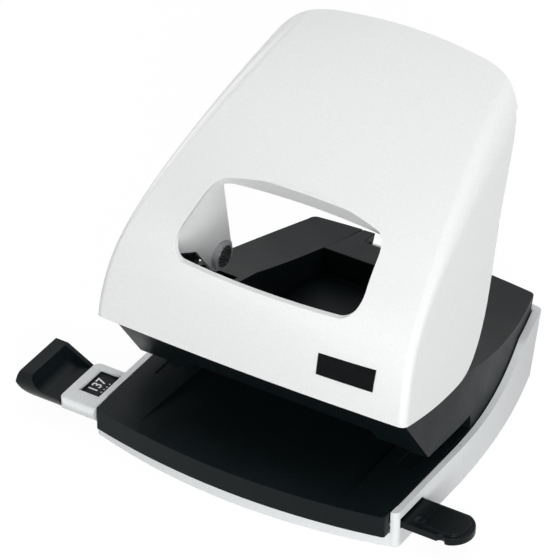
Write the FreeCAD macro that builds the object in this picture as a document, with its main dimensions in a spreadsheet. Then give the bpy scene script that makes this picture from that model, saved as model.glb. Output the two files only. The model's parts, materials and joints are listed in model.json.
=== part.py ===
"""Two-hole desk punch: a parametric model, in millimetres.

Frame: +X to the user's right, +Y from the user to the back, +Z up. The origin is on the
face that the punch stands on, on its plane of symmetry. Each named size below drives the
pieces through a spreadsheet, and a piece that fits another takes its size from the same
cells and a named clearance.
"""
import FreeCAD, Part
import math
import os
import Sketcher

Vector = FreeCAD.Vector

document = FreeCAD.newDocument("HolePunch")

# ---------------------------------------------------------------------------
# Driving sizes
# ---------------------------------------------------------------------------

DRIVING_SIZES = [
    # base plan
    ("half_width", 49.9, "half the width of the white base"),
    ("front_corner_y", -45.0, "front corners of the base"),
    ("front_bow", 6.6, "how far the front edge bows forward"),
    ("front_corner_radius", 2.0, "plan radius of the front corners"),
    ("taper_start_y", -13.0, "where the sides start to draw in"),
    ("rear_y", 46.0, "rear corners of the base at the desk"),
    ("rear_half_width", 41.8, "half width at the rear corners, at the desk"),
    ("rear_corner_radius", 2.5, "plan radius of the rear corners"),
    ("rear_bow", 2.5, "how far the rear edge bows back"),
    ("rear_lean", 0.46, "how far the rear wall leans back per height"),
    ("rear_draw", 0.08, "how far the rear corners draw in per height"),
    # base walls
    ("base_wall", 1.9, "wall of the white base"),
    ("base_floor", 1.8, "floor of the white base"),
    ("rim_z", 11.9, "height of the side rim at the front"),
    ("rim_rise_y", -2.0, "where the rim starts to sweep up"),
    ("rim_kink_y", 36.0, "end of the sweep"),
    ("rim_kink_z", 19.0, "height of the rim there"),
    ("rim_end_z", 17.6, "height of the rim at the rear"),
    ("lip_z", 4.7, "height of the front lip"),
    ("seam_y", -8.5, "seam between front base and chip tray"),
    ("seam_gap", 0.4, "gap in that seam"),
    ("tray_front_y", -23.4, "front end of the tray's pan"),
    ("tray_hinge_radius", 2.4, "nose of the pan round its hinge pins"),
    ("tray_pin_radius", 1.2, "tray hinge pin"),
    # paper table
    ("table_z", 12.0, "top of the paper table"),
    ("table_thickness", 1.9, "plate of the paper table"),
    ("table_side_gap", 2.3, "from the base's side in to the side of the table"),
    ("table_front_y", -48.4, "front corners of the table"),
    ("table_bow", 5.2, "how far the table's front bows forward"),
    ("fascia_bottom_z", 5.0, "lower edge of the table's front skirt"),
    ("ramp_side_gap", 6.5, "from a hole's middle in to the edge of the sunk middle"),
    ("ramp_front_y", -46.4, "where the sunk middle starts"),
    ("ramp_depth", 2.4, "how deep it is at the back"),
    ("sight_width", 4.5, "width of the sight groove at each hole"),
    ("sight_front_y", -25.5, "front end of the sight grooves"),
    # punching
    ("hole_spacing", 80.0, "spacing of the two holes"),
    ("hole_radius", 2.75, "radius of a punched hole"),
    ("hole_margin", 12.0, "from the paper's edge to the middle of a hole"),
    ("back_stop_y", -0.5, "paper stop at the back of the slot"),
    ("slot_front_z", 17.7, "top of the paper slot at its mouth"),
    ("slot_rear_z", 16.8, "top of the paper slot at the stop"),
    ("head_front_y", -24.5, "lower front edge of the head"),
    ("running_gap", 0.05, "radial clearance of pins and punches"),
    ("body_gap", 0.3, "gap between black mouldings and their neighbours"),
    # base plate and punch frames
    ("plate_z", 6.0, "underside of the steel base plate"),
    ("plate_thickness", 1.5, "steel base plate"),
    ("frame_thickness", 1.8, "steel of a punch frame"),
    ("frame_width", 10.1, "width of a punch frame"),
    ("frame_front_y", -21.5, "front end of a punch frame"),
    ("frame_top_z", 21.6, "top of a punch frame"),
    ("die_radius", 4.5, "outside of a die bush and of a punch guide"),
    ("guide_top_z", 26.0, "top of a punch guide"),
    ("guide_flange_radius", 5.6, "flange of a punch guide"),
    # punch pins
    ("punch_tip_z", 17.3, "cutting edge of a punch at rest"),
    ("punch_head_radius", 4.1, "head of a punch"),
    ("punch_head_height", 2.6, "height of that head"),
    ("spring_wire", 0.9, "wire of a return spring"),
    ("spring_radius", 3.7, "mean radius of a return spring"),
    ("spring_turns", 7.0, "turns of a return spring"),
    # lever
    ("axle_y", -33.0, "lever axle"),
    ("axle_z", 44.0, "lever axle"),
    ("axle_radius", 2.5, "lever axle"),
    ("press_y", -11.5, "press pin at rest"),
    ("press_z", 50.4, "press pin at rest"),
    ("press_radius", 3.3, "press pin"),
    ("press_gap", 0.15, "from a press pin to its punch"),
    ("ear_side_gap", 11.4, "from a punch's middle in to the inner face of a lever ear"),
    ("ear_radius", 5.2, "round end of a lever ear"),
    ("press_bush_radius", 4.4, "collar of a press pin bush"),
    ("sheet", 1.4, "sheet metal of the lever"),
    ("lever_half_width", 50.5, "widest half width of the lever"),
    ("lever_widest_z", 36.0, "height where the lever is widest"),
    ("lever_side_radius", 172.0, "radius of the lever's curved sides"),
    ("lever_fold_radius", 9.5, "radius of the lever's two long folds, at the top"),
    ("lever_lip_radius", 2.4, "radius of those folds at the lip"),
    ("lever_top_y", 46.4, "top edge of the lever"),
    ("lever_top_corner", 20.0, "plan radius of the lever's top corners"),
    ("window_bottom_half", 31.5, "half width of the window, bottom"),
    ("window_top_half", 27.5, "half width of the window, top"),
    ("label_left_x", 22.3, "left edge of the bare plate on the lever"),
    ("label_bottom_z", 48.4, "lower edge of that plate"),
    ("label_width", 17.5, "width of that plate"),
    ("label_height", 6.2, "height of that plate"),
    ("window_bottom_z", 64.4, "bottom edge of the window"),
    ("window_top_z", 79.2, "top corners of the window"),
    ("window_arch", 2.8, "arch of the window's top edge"),
    ("rim_depth", 6.4, "depth of the window's folded edge under the panel"),
    ("window_corner", 5.0, "corner radius of the window"),
    # housings
    ("skin", 2.0, "wall of the black mouldings"),
    ("housing_front_top_y", -39.2, "upper front edge of the head"),
    ("housing_front_top_z", 39.0, "upper front edge of the head"),
    ("housing_ear_radius", 5.5, "round ear of a housing round the axle"),
    ("head_side_gap", 9.0, "from a punch's middle in to the inner face of the head block"),
    ("arm_rear_inside", 21.6, "inner face of an arm at the rear"),
    ("arm_top_front_z", 33.0, "arm top, front end"),
    ("arm_top_rear_z", 21.8, "arm top, rear end"),
    ("arm_top_sag", 1.4, "how far the arm top sags below a straight line"),
    ("housing_bottom_z", 8.0, "underside of the arms"),
    ("bridge_bottom_z", 22.0, "lower edge of the bridge between the heads"),
    ("deck_strip_y", 38.5, "front edge of the deck strip"),
    ("basin_floor_z", 15.0, "floor of the basin"),
    ("notch_half_width", 17.5, "finger notch in the deck"),
    ("notch_depth", 5.0, "finger notch in the deck"),
    # paper guide
    ("bar_y", -36.6, "middle of the guide bar"),
    ("bar_width", 12.6, "width of the guide bar"),
    ("bar_z", 6.0, "underside of the guide bar"),
    ("bar_thickness", 2.2, "thickness of the guide bar"),
    ("bar_gap", 0.3, "clearance round the guide bar"),
    ("tab_reach", 19.3, "how far the grip tab stands out from the base's side"),
    ("stop_reach", 18.6, "from the base's side out to the inner face of the stop"),
    ("stop_top", 4.2, "thickness of the stop's top edge"),
    ("stop_height", 14.3, "top of the stop"),
    ("stop_front_y", -48.0, "front end of the stop"),
    ("stop_rear_y", -28.6, "rear end of the stop"),
    ("window_box_reach", 10.1, "how far the format window box stands out from the base's side"),
    ("window_box_front_y", -49.0, "front of the format window box"),
    ("window_box_rear_y", -28.8, "rear of the format window box"),
    ("window_box_top_z", 11.3, "top of the format window box"),
    ("window_box_bottom_z", 4.6, "underside of the format window box"),
    ("display_top_z", 10.0, "raised figures of the guide bar under the window"),
]

sheet = document.addObject("Spreadsheet::Sheet", "Sizes")
for row, (alias, value, meaning) in enumerate(DRIVING_SIZES, start=1):
    sheet.set("A%d" % row, str(value))
    sheet.setAlias("A%d" % row, alias)
    sheet.set("B%d" % row, meaning)
document.recompute()


class Length:
    """A size that knows both its number and the expression that binds it to the sheet."""

    def __init__(self, number, text):
        self.number = number
        self.text = text

    def __add__(self, other):
        other = as_length(other)
        return Length(self.number + other.number, "(%s + %s)" % (self.text, other.text))

    def __radd__(self, other):
        return as_length(other) + self

    def __sub__(self, other):
        other = as_length(other)
        return Length(self.number - other.number, "(%s - %s)" % (self.text, other.text))

    def __rsub__(self, other):
        return as_length(other) - self

    def __mul__(self, other):
        other = as_length(other)
        return Length(self.number * other.number, "(%s * %s)" % (self.text, other.text))

    def __rmul__(self, other):
        return as_length(other) * self

    def __truediv__(self, other):
        other = as_length(other)
        return Length(self.number / other.number, "(%s / %s)" % (self.text, other.text))

    def __neg__(self):
        return Length(0.0, "0") - self


def as_length(value):
    """A plain number is a length too."""
    if isinstance(value, Length):
        return value
    return Length(float(value), repr(float(value)))


def size(alias):
    """The driving size of that name."""
    return Length(float(sheet.get(alias)), "Sizes." + alias)


def number(alias):
    """The driving size of that name, as a plain number."""
    return float(sheet.get(alias))


def root(length):
    """Square root of a length expression."""
    return Length(math.sqrt(length.number), "sqrt(%s)" % length.text)


def bow_radius(half_chord, rise):
    """Radius of the arc with that half chord and that rise."""
    return (half_chord * half_chord + rise * rise) / (2.0 * rise)


def turn_radius(inwards, along):
    """Radius of an arc that starts along a straight side and ends so far inwards."""
    return (inwards * inwards + along * along) / (2.0 * inwards)


# ---------------------------------------------------------------------------
# Document helpers
# ---------------------------------------------------------------------------

PLANE_OF = {"plan": "XY_Plane", "front": "XZ_Plane", "side": "YZ_Plane"}
SUBPARTS = []


def bind(item, **values):
    """Sets properties of an object, each bound to the sheet when it is a length."""
    for name, value in values.items():
        path = name.replace("__", ".")
        if isinstance(value, Length):
            item.setExpression(path, value.text)
        else:
            setattr(item, path, value)
    return item


def place(item, x=0.0, y=0.0, z=0.0, turn=None):
    """Puts an object at a place bound to the sheet; turn is (axis, degrees)."""
    if turn:
        item.Placement = FreeCAD.Placement(Vector(), FreeCAD.Rotation(turn[0], turn[1]))
    for axis, value in (("x", x), ("y", y), ("z", z)):
        item.setExpression("Placement.Base." + axis, as_length(value).text)
    return item


def subpart(item, label):
    """Names an object as one of the physical pieces."""
    item.Label = label
    SUBPARTS.append(item)
    return item


def arc_edge(start, end, radius):
    """Arc of a signed radius between two points: positive turns anticlockwise."""
    chord = end - start
    half = chord.Length / 2.0
    reach = max(abs(radius), half)
    side = Vector(-chord.y, chord.x, 0.0)
    side.normalize()
    rise = reach - math.sqrt(reach * reach - half * half)
    middle = (start + end) * 0.5 - side * math.copysign(rise, radius)
    return Part.Arc(start, middle, end)


def draw(sketch, corners):
    """Closes an outline through corners (x, y) or (x, y, radius of the edge that arrives)."""
    corners = [(as_length(c[0]), as_length(c[1])) + tuple(c[2:]) for c in corners]
    points = [Vector(c[0].number, c[1].number, 0.0) for c in corners]
    total = len(corners)
    ends = []
    for index in range(total):
        after = (index + 1) % total
        radius = corners[after][2] if len(corners[after]) > 2 else None
        if radius is None:
            sketch.addGeometry(Part.LineSegment(points[index], points[after]))
            ends.append((1, 2))
            continue
        if radius.number > 0:
            sketch.addGeometry(arc_edge(points[index], points[after], radius.number))
            ends.append((1, 2))
            bound = sketch.addConstraint(Sketcher.Constraint("Radius", index, radius.number))
            sketch.setExpression("Constraints[%d]" % bound, radius.text)
        else:
            sketch.addGeometry(arc_edge(points[after], points[index], -radius.number))
            ends.append((2, 1))
            bound = sketch.addConstraint(Sketcher.Constraint("Radius", index, -radius.number))
            sketch.setExpression("Constraints[%d]" % bound, (-radius).text)
    for index in range(total):
        after = (index + 1) % total
        sketch.addConstraint(Sketcher.Constraint(
            "Coincident", index, ends[index][1], after, ends[after][0]))
        for kind, value in (("DistanceX", corners[index][0]), ("DistanceY", corners[index][1])):
            bound = sketch.addConstraint(Sketcher.Constraint(
                kind, -1, 1, index, ends[index][0], value.number))
            sketch.setExpression("Constraints[%d]" % bound, value.text)
    return sketch


def origin_plane(body, view):
    """One of a body's own origin planes."""
    for feature in body.Origin.OriginFeatures:
        if feature.Role == PLANE_OF[view]:
            return feature
    raise RuntimeError("no plane for the view " + view)


def body_sketch(body, name, view, corners, offset=0.0):
    """A sketch on one of a body's planes, moved along the plane's normal."""
    sketch = body.newObject("Sketcher::SketchObject", name)
    sketch.AttachmentSupport = (origin_plane(body, view), [""])
    sketch.MapMode = "FlatFace"
    sketch.setExpression("AttachmentOffset.Base.z", as_length(offset).text)
    return draw(sketch, corners)


def prism(name, view, corners, start, length):
    """A body padded from one outline, from start, for length along the plane's normal."""
    body = document.addObject("PartDesign::Body", name)
    sketch = body_sketch(body, name + "_outline", view, corners, start)
    pad = body.newObject("PartDesign::Pad", name + "_pad")
    pad.Profile = sketch
    bind(pad, Length=as_length(length))
    return body


def block(name, low, high):
    """A box between two corners."""
    box = document.addObject("Part::Box", name)
    low = [as_length(v) for v in low]
    high = [as_length(v) for v in high]
    bind(box, Length=high[0] - low[0], Width=high[1] - low[1], Height=high[2] - low[2])
    return place(box, *low)


def rod(name, radius, start, length, axis="z"):
    """A cylinder from a start point along one axis."""
    item = document.addObject("Part::Cylinder", name)
    bind(item, Radius=as_length(radius), Height=as_length(length))
    turns = {"z": None, "x": (Vector(0, 1, 0), 90), "y": (Vector(1, 0, 0), -90)}
    return place(item, *start, turn=turns[axis])


def cut(name, base, tools):
    """The base less the tools."""
    tool = tools[0] if len(tools) == 1 else fuse(name + "_tools", tools)
    result = document.addObject("Part::Cut", name)
    result.Base = base
    result.Tool = tool
    return result


def fuse(name, items):
    """The items as one solid."""
    result = document.addObject("Part::MultiFuse", name)
    result.Shapes = items
    result.Refine = True
    return result


def common(name, items):
    """What the items share."""
    result = document.addObject("Part::MultiCommon", name)
    result.Shapes = items
    return result


def group(name, items):
    """Separate solids in one node, such as a set of equal screws."""
    result = document.addObject("Part::Compound", name)
    result.Links = items
    return result


def mirrored(name, source):
    """The same piece on the other side of the plane of symmetry."""
    result = document.addObject("Part::Mirroring", name)
    result.Source = source
    result.Base = Vector(0, 0, 0)
    result.Normal = Vector(1, 0, 0)
    return result


def computed(name, shape, base=Vector(0, 0, 0)):
    """A piece whose form is worked out in code, moved from the origin to its base."""
    result = document.addObject("Part::Feature", name)
    result.Shape = shape
    result.Placement = FreeCAD.Placement(base, FreeCAD.Rotation())
    return result


def pair(build, name):
    """Builds the right-hand piece and its mirror image on the left."""
    right = build(name)
    subpart(right, name + "_right")
    subpart(mirrored(name + "_mirror", right), name + "_left")
    return right


# ---------------------------------------------------------------------------
# Shared forms
# ---------------------------------------------------------------------------

FAR = 90.0  # well outside the punch, for cutting tools
FINE = 0.001  # tolerance for healing a rounded form

half_width = size("half_width")
wall = size("base_wall")
skin = size("skin")
gap = size("body_gap")
hole_x = size("hole_spacing") / 2.0
table_half_width = half_width - size("table_side_gap")
ramp_half_width = hole_x - size("ramp_side_gap")
ear_inside = hole_x - size("ear_side_gap")
head_inside = hole_x - size("head_side_gap")
lever_half_width = size("lever_half_width")
stop_x = half_width + size("stop_reach")
window_box_x = half_width + size("window_box_reach")
tab_end_x = half_width + size("tab_reach")
axle_end_gap = 2.0  # between an end of the axle and the lever's side
press_end_gap = 1.0  # between a press pin's outer end and the lever's side
axle_half = lever_half_width - size("sheet") - axle_end_gap
punch_y = size("back_stop_y") - size("hole_margin")
run = size("running_gap")
plate_top = size("plate_z") + size("plate_thickness")
frame_leg_top = plate_top + size("frame_thickness")
table_top = size("table_z")
table_bottom = table_top - size("table_thickness")
bar_top = size("bar_z") + size("bar_thickness")
bar_front = size("bar_y") - size("bar_width") / 2.0
bar_rear = size("bar_y") + size("bar_width") / 2.0
leaf_front = bar_front - size("bar_gap") - 1.6
plate_front = bar_rear + size("bar_gap") + 0.4
plate_post_x = half_width - wall - 7.0
plate_post_y = (plate_front + size("tray_front_y") - size("seam_gap") - 0.4) / 2.0


def base_outline(inset, height):
    """Plan of the base at a height, drawn in from its outside by an inset."""
    side = half_width - inset
    front = size("front_corner_y") + inset
    rear = size("rear_y") + size("rear_lean") * height - inset
    rear_side = size("rear_half_width") - size("rear_draw") * height - inset
    front_round = size("front_corner_radius")
    rear_round = size("rear_corner_radius")
    front_arc = bow_radius(side - front_round, size("front_bow"))
    rear_arc = bow_radius(rear_side - rear_round, size("rear_bow"))
    side_arc = turn_radius(side - rear_side, rear - rear_round - size("taper_start_y"))
    return [
        (-(side - front_round), front, front_round),
        (side - front_round, front, front_arc),
        (side, front + front_round, front_round),
        (side, size("taper_start_y")),
        (rear_side, rear - rear_round, side_arc),
        (rear_side - rear_round, rear, rear_round),
        (-(rear_side - rear_round), rear, rear_arc),
        (-rear_side, rear - rear_round, rear_round),
        (-side, size("taper_start_y"), side_arc),
        (-side, front + front_round),
    ]


def base_form(name, inset, bottom, top):
    """Solid between the base's plans at two heights."""
    body = document.addObject("PartDesign::Body", name)
    low = body_sketch(body, name + "_low", "plan", base_outline(inset, bottom), bottom)
    high = body_sketch(body, name + "_high", "plan", base_outline(inset, top), top)
    loft = body.newObject("PartDesign::AdditiveLoft", name + "_loft")
    loft.Profile = low
    loft.Sections = [high]
    loft.Ruled = True
    return body


def above_rim(name):
    """Everything over the sweeping side rim."""
    rise = size("rim_kink_z") - size("rim_z")
    along = size("rim_kink_y") - size("rim_rise_y")
    return prism(name, "side", [
        (-FAR, size("rim_z")),
        (size("rim_rise_y"), size("rim_z")),
        (size("rim_kink_y"), size("rim_kink_z"), turn_radius(rise, along)),
        (size("rear_y") + size("rear_lean") * size("rim_end_z"), size("rim_end_z")),
        (FAR, size("rim_end_z")),
        (FAR, FAR),
        (-FAR, FAR),
    ], -FAR, 2 * FAR)


# ---------------------------------------------------------------------------
# White base: front part and chip tray
# ---------------------------------------------------------------------------

RIM_ROOM = 30.0  # the white walls are drawn this high, then cut to the rim


def white_shell(name):
    """The base as one open box with its sweeping rim."""
    outside = base_form(name + "_outside", as_length(0), as_length(0), as_length(RIM_ROOM))
    inside = base_form(name + "_inside", wall, size("base_floor"), as_length(RIM_ROOM))
    return cut(name, outside, [inside, above_rim(name + "_over_rim")])


def front_base():
    """Front of the base: lip, side walls, channel of the guide bar and the format window."""
    shell = white_shell("front_shell")
    behind = block("behind_seam", (-FAR, size("seam_y") - size("seam_gap") / 2, -1), (FAR, FAR, FAR))
    pan_room = block(
        "pan_room",
        (-(half_width - wall), size("tray_front_y") - size("seam_gap"), -1),
        (half_width - wall, size("seam_y"), size("base_floor") + 0.1))
    lip_room = block(
        "lip_room",
        (-(table_half_width + 0.2), -FAR, size("lip_z")),
        (table_half_width + 0.2, size("front_corner_y") + size("front_corner_radius") + wall, FAR))
    front = cut("front_wall", shell, [behind, pan_room, lip_room])

    box_body = format_box()
    ribs = []
    rib_top = size("bar_z") - 0.1
    for index, y in enumerate((bar_front + 0.6, bar_rear - 1.8)):
        ribs.append(block(
            "bar_rib_%d" % index,
            (-(half_width - wall), y, size("base_floor") - 0.2),
            (half_width - wall, y + 1.2, rib_top)))
    posts = []
    post_bores = []
    for side in (-1, 1):
        middle = side * plate_post_x
        post_bores.append(rod("post_bore_%d" % side, 1.35,
            (middle, plate_post_y, size("base_floor") + 0.2), 20))
        posts.append(block(
            "plate_post_%d" % side,
            (middle - 5.0, plate_front, size("base_floor") - 0.2),
            (middle + 5.0, size("tray_front_y") - size("seam_gap") - 0.4, size("plate_z"))))
    for index, x in enumerate((DETENT_X - 10.0, DETENT_X + 8.0)):
        posts.append(block(
            "detent_post_%d" % index,
            (x, leaf_front - 1.2, size("base_floor") - 0.2),
            (x + 2.0, leaf_front, bar_top)))
    solid = fuse("front_solid", [front, box_body] + ribs + posts)

    bar_room = block(
        "bar_room",
        (-FAR, bar_front - size("bar_gap"), size("bar_z") - size("bar_gap")),
        (FAR, bar_rear + size("bar_gap"), bar_top + size("bar_gap") + 0.7))
    bar_room_left = block(
        "bar_room_left",
        (-FAR, bar_front - size("bar_gap"), size("bar_z") - size("bar_gap")),
        (-(half_width - wall), bar_rear + size("bar_gap"), size("display_top_z") + size("bar_gap")))
    bar_room_right = common("bar_room_right",
        [bar_room, block("right_half", (-(half_width - wall), -FAR, 0), (FAR, FAR, FAR))])
    pins = []
    for side in (-1, 1):
        pins.append(rod(
            "tray_pin_hole_%d" % side, size("tray_pin_radius") + 0.01,
            (side * (half_width - 1.0) - (0 if side < 0 else 3.5), tray_hinge_y(), tray_hinge_z()),
                3.5, "x"))
    return subpart(cut("base_front_body", solid,
        [bar_room_left, bar_room_right, format_window()] + pins + post_bores), "base_front")


def rounded_front(name, top, bottom, front, rear):
    """Side view of the guide's boxes: a rounded nose that runs back under the box."""
    return prism(name, "side", [
        (rear, bottom),
        (rear, top),
        (front + 1.6, top),
        (front, top - 1.6, as_length(1.6)),
        (bar_front - 1.2, bottom, as_length(9.0)),
    ], -FAR, as_length(FAR))


def format_box():
    """Flat box on the left wall with the window that shows the paper format."""
    low = size("window_box_bottom_z")
    high = size("window_box_top_z")
    end = -window_box_x
    root_x = -(half_width - wall)
    plan = prism("format_plan", "plan", [
        (root_x, size("window_box_front_y")),
        (root_x, size("window_box_rear_y")),
        (end + 2.0, size("window_box_rear_y")),
        (end, size("window_box_rear_y") - 2.0, as_length(2.0)),
        (end, size("window_box_front_y") + 2.5),
        (end + 2.5, size("window_box_front_y"), as_length(2.5)),
    ], low - 1, high - low + 2)
    side = rounded_front("format_side", high, low, size("window_box_front_y"), size("window_box_rear_y"))
    return common("format_box", [plan, side])


def format_window():
    """Rectangular hole in the top of the format box."""
    middle = window_middle_x()
    return block(
        "format_window",
        (middle - 3.7, size("bar_y") - 5.9, bar_top),
        (middle + 3.7, size("bar_y") + 5.9, size("window_box_top_z") + 1))


def window_middle_x():
    """Middle of the format window."""
    return -(half_width + window_box_x) / 2.0 + 1.4


def tray_hinge_y():
    return size("tray_front_y") + size("tray_hinge_radius")


def tray_hinge_z():
    return size("tray_hinge_radius")


def chip_tray():
    """Rear of the base: it swings down at its front end to drop the paper chips."""
    shell = white_shell("tray_shell")
    ahead = block("ahead_of_seam", (-FAR, -FAR, -1), (FAR, size("seam_y") + size("seam_gap") / 2, FAR))
    rear = cut("tray_rear", shell, [ahead])
    side = half_width - wall - gap
    pan_wall = 1.6
    nose = rod("tray_nose", size("tray_hinge_radius"), (-side, tray_hinge_y(), tray_hinge_z()),
        2 * side, "x")
    pan = block("tray_pan", (-side, tray_hinge_y(), 0), (side, size("seam_y") + 1.0, size("base_floor")))
    cheeks = []
    for index, x in enumerate((-side, side - pan_wall)):
        cheeks.append(block(
            "tray_cheek_%d" % index, (x, tray_hinge_y(), 0.5),
                (x + pan_wall, size("seam_y") + 4.0, 2 * size("tray_hinge_radius"))))
    seams = []
    for index, x in enumerate((-side, side - pan_wall)):
        seams.append(block(
            "tray_joint_%d" % index, (x - 0.4, size("seam_y") + size("seam_gap") / 2, 0.5),
            (x + pan_wall + 0.4, size("seam_y") + 4.0, 2 * size("tray_hinge_radius"))))
    rib = block("tray_rib", (-30.0, 27.0, size("base_floor") - 0.2), (30.0, 29.0, size("plate_z") - 0.2))
    whole = fuse("tray_solid", [rear, nose, pan, rib] + cheeks + seams)
    bore = rod("tray_bore", size("tray_pin_radius") + run, (-FAR, tray_hinge_y(), tray_hinge_z()),
        2 * FAR, "x")
    return subpart(cut("chip_tray_body", whole, [bore]), "chip_tray")


def tray_hinge_pins():
    """Two short pins that carry the chip tray."""
    length = 5.0
    pins = []
    for side in (-1, 1):
        start = half_width - 1.0 - length if side > 0 else -(half_width - 1.0)
        pins.append(rod("tray_pin_%d" % side, size("tray_pin_radius"),
            (start, tray_hinge_y(), tray_hinge_z()), length, "x"))
    return subpart(group("tray_pins", pins), "tray_hinge_pins")


# ---------------------------------------------------------------------------
# Paper table
# ---------------------------------------------------------------------------

def paper_table():
    """Black plate that the paper lies on, with a skirt at the front and a sunk middle."""
    side = table_half_width
    corner = 1.0
    front = size("table_front_y")
    rear = size("back_stop_y") - 0.2

    def outline(inset, back):
        return [
            (-(side - corner - inset), front + inset, as_length(corner)),
            (side - corner - inset, front + inset, bow_radius(side - corner - inset, size("table_bow"))),
            (side - inset, front + corner + inset, as_length(corner)),
            (side - inset, back),
            (-(side - inset), back),
            (-(side - inset), front + corner + inset),
        ]

    slab = prism("table_slab", "plan", outline(0, rear), size("fascia_bottom_z"),
        table_top - size("fascia_bottom_z"))
    under = prism("table_under", "plan", outline(2.0, rear + 1.0), size("fascia_bottom_z") - 1.0,
                  table_bottom - size("fascia_bottom_z") + 1.0)
    sides_open = block("table_sides_open", (-FAR, front + corner + 2.0, 0), (FAR, FAR, table_bottom))
    thickness = size("table_thickness")
    ramp_end_z = table_top - size("ramp_depth")
    floor_plate = prism("ramp_plate", "side", [
        (size("ramp_front_y"), table_top),
        (size("ramp_front_y"), table_bottom),
        (rear, ramp_end_z - thickness + 0.4),
        (rear, table_top),
    ], -(ramp_half_width + 1.2), 2 * (ramp_half_width + 1.2))
    sunk = prism("ramp_room", "side", [
        (size("ramp_front_y"), table_top),
        (rear + 1.0, ramp_end_z - 0.05),
        (rear + 1.0, table_top + 5.0),
        (size("ramp_front_y"), table_top + 5.0),
    ], -ramp_half_width, 2 * ramp_half_width)
    tools = [sunk]
    for side_sign in (-1, 1):
        tools.append(rod("die_room_%d" % side_sign, size("die_radius") + 0.15,
                         (side_sign * hole_x, punch_y, 0), 30))
        tools.append(block(
            "sight_%d" % side_sign,
            (side_sign * (hole_x + 0.25) - size("sight_width") / 2, size("sight_front_y"), table_top - 0.35),
            (side_sign * (hole_x + 0.25) + size("sight_width") / 2, punch_y - size("die_radius") - 1.0,
                FAR)))
        tools.append(block(
            "tray_side_%d" % side_sign,
            (side * side_sign - 0.35, -16.0, 0), (side * side_sign + 0.35, FAR, FAR)))
    feet = []
    for side_sign in (-1, 1):
        for index, y in enumerate((-22.0, -5.0)):
            feet.append(rod("table_foot_%d_%d" % (side_sign, index), 2.0,
                (side_sign * (hole_x - 12.0), y, plate_top), 2.0))
    table = fuse("table_whole", [cut("table_plate", slab, [under, sides_open]), floor_plate] + feet)
    return subpart(cut("paper_table_body", table, tools), "paper_table")


# ---------------------------------------------------------------------------
# Steel: base plate, punch frames, die bushes and punch guides
# ---------------------------------------------------------------------------

def plate_screws():
    """Two sunk screws through the front of the base plate into the base's posts."""
    items = []
    for side in (-1, 1):
        shank = rod("post_shank_%d" % side, 1.3,
            (side * plate_post_x, plate_post_y, size("base_floor") + 0.4), 5.0)
        head = rod("post_head_%d" % side, 2.4, (side * plate_post_x, plate_post_y, plate_top - 0.9), 0.8)
        slot = block("post_slot_%d" % side, (side * plate_post_x - 0.3, plate_post_y - 1.7, plate_top - 0.5),
                     (side * plate_post_x + 0.3, plate_post_y + 1.7, plate_top + 1.0))
        items.append(cut("post_screw_%d" % side, fuse("post_screw_solid_%d" % side, [shank, head]), [slot]))
    return subpart(group("post_screws", items), "plate_screws")


def base_plate():
    """Steel plate that ties the punch frames together under the table."""
    side = half_width - wall - gap - 2.9
    rear_draw_in = (half_width - size("rear_half_width")) * (5.0 / 8.1)
    plate = prism("plate_blank", "plan", [
        (-side, plate_front),
        (side, plate_front),
        (side, as_length(12.0)),
        (side - rear_draw_in, as_length(30.0)),
        (-(side - rear_draw_in), as_length(30.0)),
        (-side, as_length(12.0)),
    ], size("plate_z"), size("plate_thickness"))
    holes = []
    for side_sign in (-1, 1):
        holes.append(rod("chip_hole_%d" % side_sign, size("hole_radius") + 1.0,
            (side_sign * hole_x, punch_y, 0), 20))
        holes.append(rod("post_hole_%d" % side_sign, 1.5, (side_sign * plate_post_x, plate_post_y, 0), 20))
        holes.append(rod("post_sink_%d" % side_sign, 2.5,
            (side_sign * plate_post_x, plate_post_y, plate_top - 0.9), 20))
        for index, (x, y) in enumerate(housing_screw_places()):
            holes.append(rod("shank_hole_%d_%d" % (side_sign, index), 1.5, (side_sign * x, y, 0), 20))
    return subpart(cut("base_plate_body", plate, holes), "base_plate")


def punch_frame(name):
    """C-shaped steel frame: lower leg, web behind the paper stop, upper leg."""
    left = hole_x - 5.25
    rear = size("back_stop_y") + skin + gap + size("frame_thickness")
    thick = size("frame_thickness")
    shape = prism(name + "_c", "side", [
        (size("frame_front_y"), plate_top),
        (rear, plate_top),
        (rear, size("frame_top_z")),
        (size("frame_front_y"), size("frame_top_z")),
        (size("frame_front_y"), size("frame_top_z") - thick),
        (rear - thick, size("frame_top_z") - thick),
        (rear - thick, frame_leg_top),
        (size("frame_front_y"), frame_leg_top),
    ], left, size("frame_width"))
    bore = rod(name + "_bore", size("die_radius") + 0.02, (hole_x, punch_y, 0), 40)
    return cut(name + "_body", shape, [bore])


def die_bush(name):
    """Hardened ring that the punch cuts against, flush with the table."""
    outside = rod(name + "_outside", size("die_radius"), (hole_x, punch_y, plate_top), table_top - plate_top)
    bore = rod(name + "_bore", size("hole_radius") + run, (hole_x, punch_y, 0), 40)
    return cut(name + "_body", outside, [bore])


def punch_guide(name):
    """Flanged sleeve that guides the punch in the upper leg."""
    bottom = size("slot_rear_z") + 0.6
    outside = rod(name + "_outside", size("die_radius"), (hole_x, punch_y, bottom),
        size("guide_top_z") - bottom)
    flange = rod(name + "_flange", size("guide_flange_radius"), (hole_x, punch_y, size("frame_top_z")), 1.2)
    bore = rod(name + "_bore", size("hole_radius") + run, (hole_x, punch_y, 0), 60)
    return cut(name + "_body", fuse(name + "_solid", [outside, flange]), [bore])


def frame_rivets():
    """Four rivets that hold the punch frames to the base plate."""
    items = []
    for side_sign in (-1, 1):
        for index, y in enumerate((size("frame_front_y") + 2.6, size("back_stop_y") - 3.2)):
            x = side_sign * (hole_x - 1.2)
            head = rod("rivet_head_%d_%d" % (side_sign, index), 1.6, (x, y, frame_leg_top), 0.35)
            items.append(head)
    return subpart(group("rivets", items), "frame_rivets")


# ---------------------------------------------------------------------------
# Punches and springs
# ---------------------------------------------------------------------------

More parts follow.
